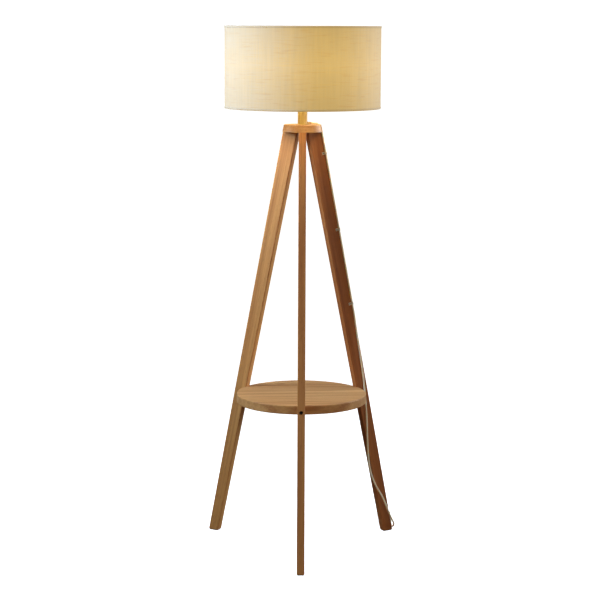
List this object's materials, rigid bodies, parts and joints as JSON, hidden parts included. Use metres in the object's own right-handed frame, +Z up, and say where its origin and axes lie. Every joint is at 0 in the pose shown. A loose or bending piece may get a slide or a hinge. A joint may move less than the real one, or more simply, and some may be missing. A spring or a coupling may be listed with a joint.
{
  "type": "tripod floor lamp",
  "caption": "Wooden tripod floor lamp with splayed board legs, a round shelf, a turned neck and a linen drum shade over a screw-in bulb.",
  "frame": {"origin": "on the floor, under the middle of the lamp's own box (cord left out)", "axes": "+Z up the lamp, -Y towards the front leg, X across the two back legs"},
  "size_m": [0.5702, 0.6664, 1.53],
  "materials": {
    "legs": "clear satin lacquer on straight-grained hardwood",
    "head_wood": "clear satin lacquer, turned",
    "neck_wood": "clear satin lacquer, turned",
    "shelf_wood": "clear satin lacquer, turned edge",
    "dowels": "fluted beech, unfinished",
    "pads": "dense felt",
    "black_steel": "black oxide",
    "brass_parts": "plain, lightly tarnished",
    "zinc_parts": "bright zinc plate",
    "holder_shell": "moulded phenolic",
    "ceramic": "glazed ceramic",
    "black_plastic": "moulded",
    "bulb_cap": "rolled thread",
    "bulb_glass": "opal inside coating",
    "white_metal": "white powder coat",
    "linen": "natural slub linen",
    "linen_tape": "folded linen tape",
    "liner": "translucent white shade card",
    "cord": "pale gold flexible sheath",
    "cord_sleeve": "moulded strain relief",
    "clip_plastic": "moulded cable clip",
    "tie": "hook and loop band",
    "plug_plastic": "moulded"
  },
  "bodies": {
    "lamp": {"leg_front": "legs", "leg_right": "legs", "leg_left": "legs", "foot_pads": "pads", "leg_dowels": "dowels", "leg_screws": "black_steel", "head_block": "head_wood", "neck_post": "neck_wood", "neck_screw": "black_steel", "shelf": "shelf_wood", "shelf_bolts": "black_steel", "shelf_inserts": "brass_parts", "neck_nipple": "zinc_parts", "neck_washer": "brass_parts", "holder_cap": "holder_shell", "holder_shell": "holder_shell", "holder_core": "ceramic", "holder_screw_shell": "brass_parts", "holder_contact": "brass_parts", "terminal_screws": "brass_parts", "switch_block": "black_plastic", "bulb_cap": "bulb_cap", "bulb_contact": "brass_parts", "bulb_glass": "bulb_glass", "shade_collar": "holder_shell", "inner_lead": "cord", "cord_sleeve": "cord_sleeve", "cord_lead": "cord", "cord_clips": "clip_plastic", "clip_nails": "zinc_parts", "cord_hank": "cord", "hank_tie": "tie", "plug_body": "plug_plastic", "plug_blades": "zinc_parts"},
    "shade": {"shade_spider_ring": "white_metal", "shade_spider_arms": "white_metal", "shade_fabric": "linen", "shade_liner": "liner", "shade_wire_top": "white_metal", "shade_wire_bottom": "white_metal", "shade_trim_top": "linen_tape", "shade_trim_bottom": "linen_tape"},
    "switch": {"switch_shaft": "brass_parts", "switch_knob": "black_plastic"}
  },
  "joints": [
    {"name": "shade_turn", "type": "hinge", "parent": "lamp", "child": "shade", "pos_m": [0, 0.0475, 1.347], "axis": [0, 0, 1], "continuous": true},
    {"name": "switch_turn", "type": "hinge", "parent": "lamp", "child": "switch", "pos_m": [0.02, 0.0475, 1.329], "axis": [1, 0, 0], "continuous": true}
  ]
}
